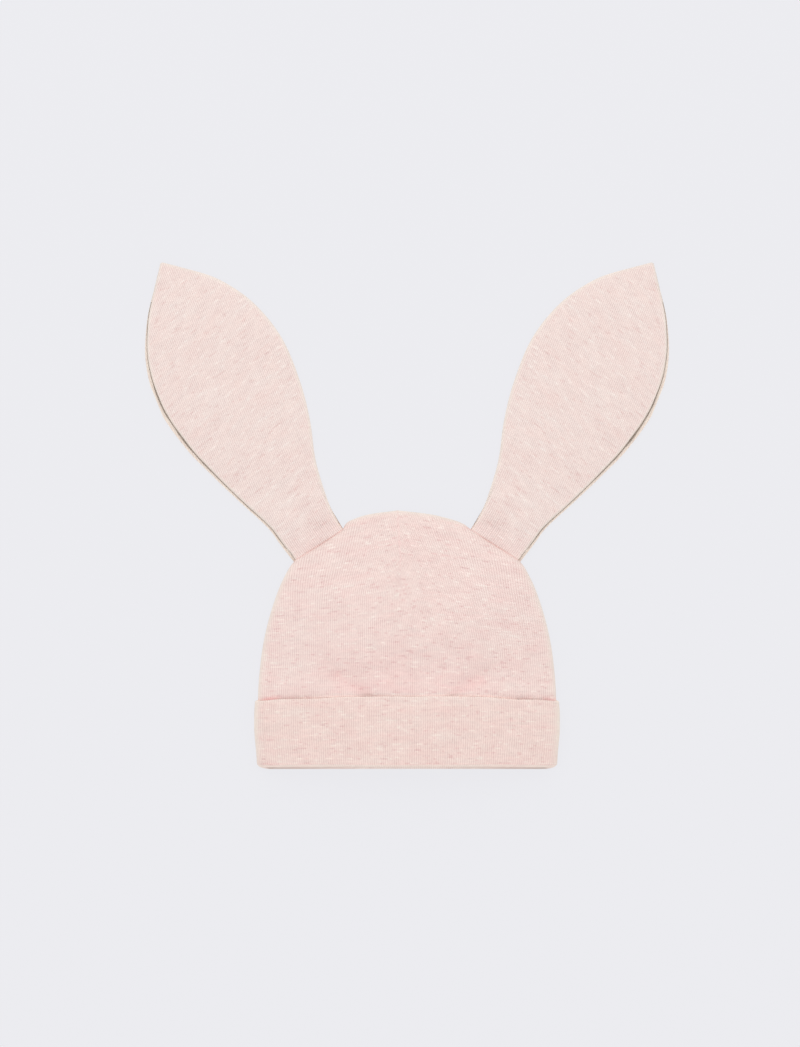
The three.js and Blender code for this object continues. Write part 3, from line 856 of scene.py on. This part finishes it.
def cuff_band():
    """The turned-up band, one closed ring of cloth all the way round the crown's mouth."""
    section = cuff_section()
    flat = CUFF_HALF - (GAP + WALL) - FOLD_RADIUS
    turn_length = math.pi * (FOLD_RADIUS + GAP + WALL)
    girth = 4 * flat + 2 * turn_length
    wales = int(round(girth / CUFF_WALE))
    count = wales * SIDES_PER_WALE
    way = np.arange(count) * girth / count
    share, tilt = cuff_path(way, flat, turn_length)
    knit = rib(way, girth / wales, CUFF_RIB)
    front = np.clip(np.sin(tilt), 0, 1)

    # The last two lists hold the cuff's painted highlight and its painted shade and light, row by row.
    points, along, painted_edge_lights, creases = [], [], [], []
    v = 0.0
    last = section[0]
    for row in section:
        y0, out0, ny, nout, part = row
        v += math.hypot(y0 - last[0], out0 - last[1])
        last = row
        ribbed = knit if part != INSIDE else 0 * knit
        y = y0 + ny * ribbed
        thinned = CUFF_THINNED * smooth(CUFF_HEIGHT - CUFF_THIN_FROM, CUFF_HEIGHT - CUFF_EDGE_RADIUS, y0)
        thinned = thinned * bell(share * CUFF_HALF, CUFF_THIN_REACH) * front
        out = GAP + (out0 - GAP) * (1 - thinned * (part == OUTSIDE)) + nout * ribbed * (1 - 0.5 * thinned)
        up = np.clip(y / CUFF_HEIGHT, 0, 1.05)
        flare = (part != FOLD) * CUFF_END_FLARE * up ** 3 * smooth(0.45, 0.8, np.abs(share)) * front
        puff = CUFF_PUFF * np.sin(math.pi * np.clip(y0 / CUFF_HEIGHT, 0, 1)) * front * (part == OUTSIDE)
        half = skin_half_width(y)
        radius = FOLD_RADIUS + out
        x = share * (half - FOLD_RADIUS) + np.sign(share) * radius * np.cos(tilt)
        loft = np.where(np.sin(tilt) > 1e-6, front_loft(y, np.clip(np.abs(x) / half, 0, 1)), 0)
        wave = CUFF_WAVE * ripple(x, y * 1.6, SEEDS["cuff"]) * front * (part != INSIDE)
        z = back_height(y) + FOLD_RADIUS + radius * np.sin(tilt) + loft + flare + puff + wave
        z = np.maximum(z, 0.0)
        drop = (part != FOLD) * (CUFF_HEIGHT - cuff_top(x)) * up ** 2
        x = x * (1 - cuff_narrowing(y, part) / CUFF_HALF)
        points.append(np.stack([x, y - drop + front_rise(y, z), z], axis=1))
        along.append(np.full(count, v))
        # Painted highlight at the cuff's top edge, along its fold and at both ends; painted shade inside
        # the raised ends and on the fold line, and painted light on the edge, on the fold and on the back
        # half of the fold.
        light = soft_line(PAINTED_EDGE_LIGHT["cuff_edge"], y0) + soft_line(PAINTED_EDGE_LIGHT["cuff_fold"], y0) * (part == FOLD)
        light = light + soft_line(PAINTED_EDGE_LIGHT["cuff_end"], CUFF_HALF - np.abs(x))
        painted_edge_lights.append(np.clip(light, 0, CUFF_MOST_PAINTED_LIGHT))
        raised = smooth(*CUFF_RAISED_X, np.abs(x))
        painted_shade_and_light = (part == INSIDE) * raised * soft_line(SHADE["cuff_inside"], y0)
        painted_shade_and_light = painted_shade_and_light + (part == OUTSIDE) * (1 - raised) * soft_line(SHADE["cuff_edge"], y0)
        folded = soft_line(SHADE["cuff_fold_line"], y0) + soft_line(SHADE["cuff_fold"], y0)
        painted_shade_and_light = painted_shade_and_light + (nout > 0) * folded * front
        creases.append(painted_shade_and_light - BACK_FOLD_LIGHT * (part == FOLD) * (1 - front))
    grid = np.array(points)
    rows = len(grid)
    ring = np.arange(rows * count).reshape(rows, count)
    a = ring
    b = np.roll(ring, -1, axis=1)
    c = np.roll(b, -1, axis=0)
    d = np.roll(a, -1, axis=0)
    faces = np.stack([a, b, c, d], axis=2).reshape(-1, 4)
    across = np.repeat(way[None, :] * CUFF_WALE / (girth / wales), rows, axis=0)
    marks = {"painted_edge_light_and_shade": np.array(painted_edge_lights), "painted_shade_and_light": np.array(creases), "groove": CUFF_GROOVE + 0 * across}
    return cloth_object("cuff_band", grid.reshape(-1, 3), faces, (across, np.array(along)), marks,
                        cuff_knit, "cuff", weld=False)


cuff_band()


# ---- ears

ear_rows = spline(EAR_SECTIONS, per_span=16)
INNER, OUTER, PUFF, OVERLAP = 1, 2, 3, 4  # columns of EAR_SECTIONS


def ear_column(along, column):
    """A column of EAR_SECTIONS at places along the ear, as at its sewn end below that."""
    return np.interp(along, ear_rows[:, 0], ear_rows[:, column])


def ear_to_hat(a, w):
    """From the ear's own place, along and across outward, to the hat's, for the right ear."""
    return (EAR_BASE[0] + a * math.sin(EAR_LEAN) + w * math.cos(EAR_LEAN),
            EAR_BASE[1] + a * math.cos(EAR_LEAN) - w * math.sin(EAR_LEAN))


def seam_in_ear(tuck):
    """The sewn end in the ear's own place, as a straight line a = slope * w + offset."""
    ends = []
    for x, y in (EAR_SEAM_INNER, EAR_SEAM_OUTER):
        dx, dy = x - EAR_BASE[0], y - EAR_BASE[1]
        ends.append((dx * math.sin(EAR_LEAN) + dy * math.cos(EAR_LEAN),
                     dx * math.cos(EAR_LEAN) - dy * math.sin(EAR_LEAN)))
    (a0, w0), (a1, w1) = ends
    slope = (a1 - a0) / (w1 - w0)
    return slope, a0 - slope * w0 - tuck


def ear_wale(u, a):
    """Place across the ear, at a along it, of the wale that starts at u."""
    return u - EAR_SLANT * a + EAR_TURN_SLANT * EAR_TURN * (1 - np.exp(-a / EAR_TURN))


def ear_outline(reach, seam, inset):
    """The outline of a panel: reach takes off the outer overlap, and inset goes off its inner edge."""
    slope, offset = seam
    a = np.concatenate([np.linspace(-6, 20, 60), np.linspace(20.5, EAR_TIP, 190)])
    outer = ear_column(a, OUTER) - reach * ear_column(a, OVERLAP)
    inner = inset - ear_column(a, INNER)
    outer_side = np.column_stack([outer, a])[a >= slope * outer + offset]
    inner_side = np.column_stack([inner, a])[a >= slope * inner + offset]
    tip = np.array([[0.0, EAR_TIP + 0.35]])
    return np.vstack([inner_side, tip, outer_side[::-1]])


EAR_OVERRUN = 0.1  # a wale goes on until it is this far off the panel


def ear_wales(reach, inset, seam, sides):
    """The columns of a panel: where each wale starts across the ear, and both its ends along it."""
    slope, offset = seam
    a = np.linspace(-4, EAR_TIP, 1800)
    outer_edge = ear_column(a, OUTER) - reach * ear_column(a, OVERLAP)
    inner_edge = ear_column(a, INNER) - inset
    u = np.arange(-70, 70, EAR_WALE / sides)
    w = ear_wale(u[:, None], a)
    room = np.minimum(np.minimum(outer_edge - w, w + inner_edge), a - (slope * w + offset))
    held = room.max(1) > ON_OUTLINE
    u, room = u[held], room[held]
    starts, ends = [], []
    for row in room:
        out_of_room = np.flatnonzero(row <= -EAR_OVERRUN)
        best = row.argmax()
        low = out_of_room[out_of_room < best]
        high = out_of_room[out_of_room > best]
        starts.append(a[low[-1] + 1 if len(low) else 0])
        ends.append(a[high[0] - 1 if len(high) else -1])
    return u, np.array(starts), np.array(ends)


EAR_ROWS_EVEN, EAR_ROWS_CLOSER = 0.55, 0.45  # shares of the row spacing, even or closer at both ends
EAR_PUFF_POWER = 2.6
EAR_GATHER, WALES_PER_GATHER = 0.22, 3
# painted shade added to the grooves where the ear's base is gathered
EAR_GATHER_SHADE = 0.26
EAR_WAVE = 0.3
EAR_HALF_GAP = 0.05  # from each panel to the plane where the two meet
EAR_INNER_ROUND = 0.15  # how far the inner face comes off that plane


def ear_panel(name, side, front, sides, rows_up, node, material):
    """One panel of an ear, as a closed sheet whose columns follow the wales."""
    seam = seam_in_ear(EAR_TUCK_IN)
    slope, offset = seam
    reach = 1.0 if front else 0.0
    inset = 0.0 if front else EAR_BACK_INSET
    u, starts, ends = ear_wales(reach, inset, seam, sides)
    t = np.linspace(0, 1, rows_up)
    t = EAR_ROWS_EVEN * t + EAR_ROWS_CLOSER * (1 - np.cos(math.pi * t)) / 2
    aa = starts + t[:, None] * (ends - starts)
    uu = u + 0 * aa
    ww = ear_wale(uu, aa)

    line = ear_outline(reach, seam, inset)
    d = to_edge(np.column_stack([ww.ravel(), aa.ravel()]), line)[0].reshape(aa.shape)
    d[-1] = 0.0  # the cloth ends on its outline
    d[:, [0, -1]] = 0.0
    up = aa - (slope * ww + offset)  # above the sewn end
    d[0, up[0] > 0.3] = 0.0  # but not in the seam
    width = np.where(ww < 0, ear_column(aa, INNER), ear_column(aa, OUTER))
    across = ww / np.maximum(width, 0.5)
    edge = np.minimum(1, d / EAR_EDGE_RADIUS)
    edge = np.where(d < EAR_EDGE_RADIUS, np.sqrt(np.clip(1 - (1 - edge) ** 2, 0, 1)), 1.0)
    near_seam = (up < 3.0) & (d > 0)
    edge = np.where(near_seam, np.maximum(edge, smooth(0, 1.0, width - np.abs(ww))), edge)

    puff = ear_column(aa, PUFF) * (1 - np.clip(np.abs(across), 0, 1) ** EAR_PUFF_POWER)
    tuck = soft_line(RELIEF["ear_tuck"], aa - 0.25 * ww) * bell(across + 0.55, 0.5)
    long_fold = soft_line(RELIEF["ear_fold"], ww - 0.06 * aa) * bell(aa - 36, 22)
    gathered = bell(up - 8, 8) * bell(across + 0.4, 0.65)
    gather = EAR_GATHER * np.cos(2 * math.pi * uu / (WALES_PER_GATHER * EAR_WALE)) * gathered
    wave = EAR_WAVE * ripple(ww * 1.1, aa * 0.8, SEEDS["left_ear" if side < 0 else "right_ear"])
    body = np.maximum(puff - tuck - long_fold, 0) + (gather + wave) * np.clip(d / 6, 0, 1)
    body = body * smooth(-1.5, 1.0, up) * np.clip(d / 0.6, 0, 1)
    knit = rib(uu, EAR_WALE, EAR_RIB) * (1 + gathered) * np.clip(d / 1.5, 0, 1)

    round_edge = np.maximum(EAR_EDGE_RADIUS * edge, EAR_LEAST_HEIGHT)
    if front:
        middle = EAR_EDGE_RADIUS + EAR_HALF_GAP
        outer_z = middle + round_edge + body + knit
        inner_z = middle + EAR_INNER_ROUND * edge + np.maximum(body, 0)
    else:
        middle = EAR_EDGE_RADIUS - EAR_HALF_GAP
        outer_z = np.maximum(middle - round_edge, 0.0)
        inner_z = middle - EAR_INNER_ROUND * edge

    hx, hy = ear_to_hat(aa, ww)
    hx = side * hx
    outer = np.stack([hx, hy, outer_z], axis=2)
    inner = np.stack([hx, hy, inner_z], axis=2)
    points, faces = slab(outer, inner, flip=(side < 0) == front)
    # Painted shade on and just above the sewn end, painted light along the back panel's edges, and a
    # painted highlight along the front panel's edge.
    painted_shade_and_light = soft_line(SHADE["ear_seam"], np.maximum(up - 0.4, 0))
    painted_shade_and_light = painted_shade_and_light + soft_line(SHADE["above_ear_seam"], up) * (up > 0)
    if not front:
        painted_shade_and_light = painted_shade_and_light + soft_line(SHADE["ear_back_edge"], width - np.abs(ww))
    marks = {"painted_edge_light_and_shade": soft_line(PAINTED_EDGE_LIGHT["ear_edge"], d) * front, "painted_shade_and_light": painted_shade_and_light,
             "groove": JERSEY_GROOVE + EAR_GATHER_SHADE * gathered}
    knit_map = (uu, aa + EAR_SLANT * ww)
    return cloth_object(name, points, faces, knit_map, marks, material, node, weld=False)


TUBE_SIDES = 8
# The painted shadow line in the ear's outer seam: its radius, its swell, and how much of its dark colour
# shows.
SHADOW_LINE_RADIUS, SHADOW_LINE_SWELL, SHADOW_LINE_PAINT = 0.12, 0.22, 1.0
# The rolled seam: its radius, its inset, and how much painted edge highlight it takes.
ROLL_RADIUS, ROLL_INSET, ROLL_PAINTED_LIGHT = 0.42, 0.3, 0.4


def ear_tube(name, side, a, w, radius, z, painted_edge_light_and_shade, material, node):
    """A thin tube along a line in the ear's own place."""
    middle = np.column_stack(ear_to_hat(a, w))
    across = edge_normals(middle)
    turns = np.arange(TUBE_SIDES) * 2 * math.pi / TUBE_SIDES
    sideways = (radius[:, None] * np.cos(turns))[:, :, None] * across[:, None, :]
    plan = middle[:, None, :] + sideways
    tube = np.dstack([side * plan[:, :, 0], plan[:, :, 1], z[:, None] + radius[:, None] * np.sin(turns)])
    rows, count = tube.shape[:2]
    ring = np.arange(rows * count).reshape(rows, count)
    faces = np.vstack([ring_faces(ring[k], ring[k + 1], side < 0) for k in range(rows - 1)]).tolist()
    faces += [ring[0].tolist()[::side], ring[-1].tolist()[::-side]]
    knit = (np.zeros(tube.shape[:2]), np.repeat(a[:, None], count, axis=1))
    # The whole tube takes that share of its material's painted edge colour.
    marks = {"painted_edge_light_and_shade": np.full(tube.shape[:2], painted_edge_light_and_shade), "painted_shade_and_light": knit[0], "groove": knit[0]}
    return cloth_object(name, tube.reshape(-1, 3), faces, knit, marks, material, node, weld=False)


def ear_seam_shadow_line(name, side, node):
    """The dark line in the step between the front panel's edge and the back panel: a thin tube of painted
    shadow standing for the gap there.
    """
    a = np.linspace(6, 158, 320)
    step = ear_column(a, OVERLAP)
    uneven = ripple(a * 2.3, 0 * a, SEEDS["shadow_line_radius"] + side)
    radius = SHADOW_LINE_RADIUS + SHADOW_LINE_SWELL * bell(a - 88, 28) * (0.8 + 0.35 * uneven)
    outward = 0.08 + radius + 0.1 * ripple(a * 1.7, 0 * a, SEEDS["shadow_line_place"] + side)
    w = ear_column(a, OUTER) - step + np.minimum(outward, np.maximum(step - radius, radius))
    z = EAR_EDGE_RADIUS + 0.02 + radius
    return ear_tube(name, side, a, w, radius, z, SHADOW_LINE_PAINT, ear_back_knit, node)


def ear_inner_roll(name, side, node):
    """The rolled seam along the inner edge, where the two panels meet, with a painted highlight on it."""
    slope, offset = seam_in_ear(EAR_TUCK_IN)
    a = np.linspace(offset - slope * EAR_SECTIONS[0][INNER] + 0.8, 169, 360)
    w = -ear_column(a, INNER) + ROLL_INSET
    radius = ROLL_RADIUS * smooth(171, 160, a) + 0.03
    z = EAR_EDGE_RADIUS + 0 * a
    return ear_tube(name, side, a, w, radius, z, ROLL_PAINTED_LIGHT, ear_knit, node)


for hand, side in (("left", -1), ("right", 1)):
    front_node, back_node = f"ear_front_{hand}", f"ear_back_{hand}"
    ear_panel(f"ear_{hand}_front", side, True, SIDES_PER_WALE, 76, front_node, ear_knit)
    ear_panel(f"ear_{hand}_back", side, False, SIDES_ON_BACK, 40, back_node, ear_back_knit)
    ear_seam_shadow_line(f"ear_{hand}_seam", side, back_node)
    ear_inner_roll(f"ear_{hand}_roll", side, front_node)


# ---- floor, light and camera

FLOOR_SIZE, FLOOR_Z = 12, -0.0003  # in metres, a hair below the cloth
WORLD_STRENGTH = 0.86
# Place and size in metres, power in watts.
LIGHTS = [
    {"name": "key", "place": (-0.35, 0.9, 1.6), "size": 1.6, "power": 8},
    {"name": "fill", "place": (0.6, 0.3, 1.9), "size": 1.8, "power": 4},
]
# The floor that the picture takes in, in millimetres, and its middle in the hat's place.
PICTURE_HEIGHT = 565.4
PICTURE_MIDDLE = (-3.8, 132.6)
LENS, SENSOR = 85.0, 36.0


def make_floor():
    """Pale paper that glows a little, so that the light on it is even and shadows are faint."""
    paper = Nodes("floor_paper").surface({
        "Base Color": (0.07, 0.07, 0.073, 1.0), "Roughness": 1.0, "Specular IOR Level": 0.0,
        "Emission Color": linear(236, 236, 240), "Emission Strength": 0.91,
    })
    bpy.ops.mesh.primitive_plane_add(size=FLOOR_SIZE, location=(0, 0, FLOOR_Z))
    floor = bpy.context.object
    floor.name = "floor"
    floor.data.materials.append(paper)


def area_light(name, place, size, power):
    """A square light that faces the hat."""
    data = bpy.data.lights.new(name, "AREA")
    data.shape = "SQUARE"
    data.size = size
    data.energy = power
    light = bpy.data.objects.new(name, data)
    light.location = place
    light.rotation_euler = (-Vector(place)).to_track_quat("-Z", "Y").to_euler()
    bpy.context.scene.collection.objects.link(light)


def make_world(strength):
    """Even white light all round."""
    world = bpy.data.worlds.new("studio")
    world.use_nodes = True
    background = world.node_tree.nodes["Background"]
    background.inputs["Color"].default_value = (1.0, 1.0, 1.0, 1.0)
    background.inputs["Strength"].default_value = strength
    bpy.context.scene.world = world


def make_camera():
    """Straight above the hat, with the ear tips at the top of the picture."""
    data = bpy.data.cameras.new("camera")
    data.lens = LENS
    data.sensor_width = SENSOR
    data.clip_end = 50
    x, y = PICTURE_MIDDLE
    camera = bpy.data.objects.new("camera", data)
    camera.location = (x * MM, (FOLD_Y + y) * MM, PICTURE_HEIGHT * MM * LENS / SENSOR)
    bpy.context.scene.collection.objects.link(camera)
    bpy.context.scene.camera = camera


make_floor()
make_world(WORLD_STRENGTH)
for row in LIGHTS:
    area_light(**row)
make_camera()
bpy.context.scene.view_settings.view_transform = "Standard"
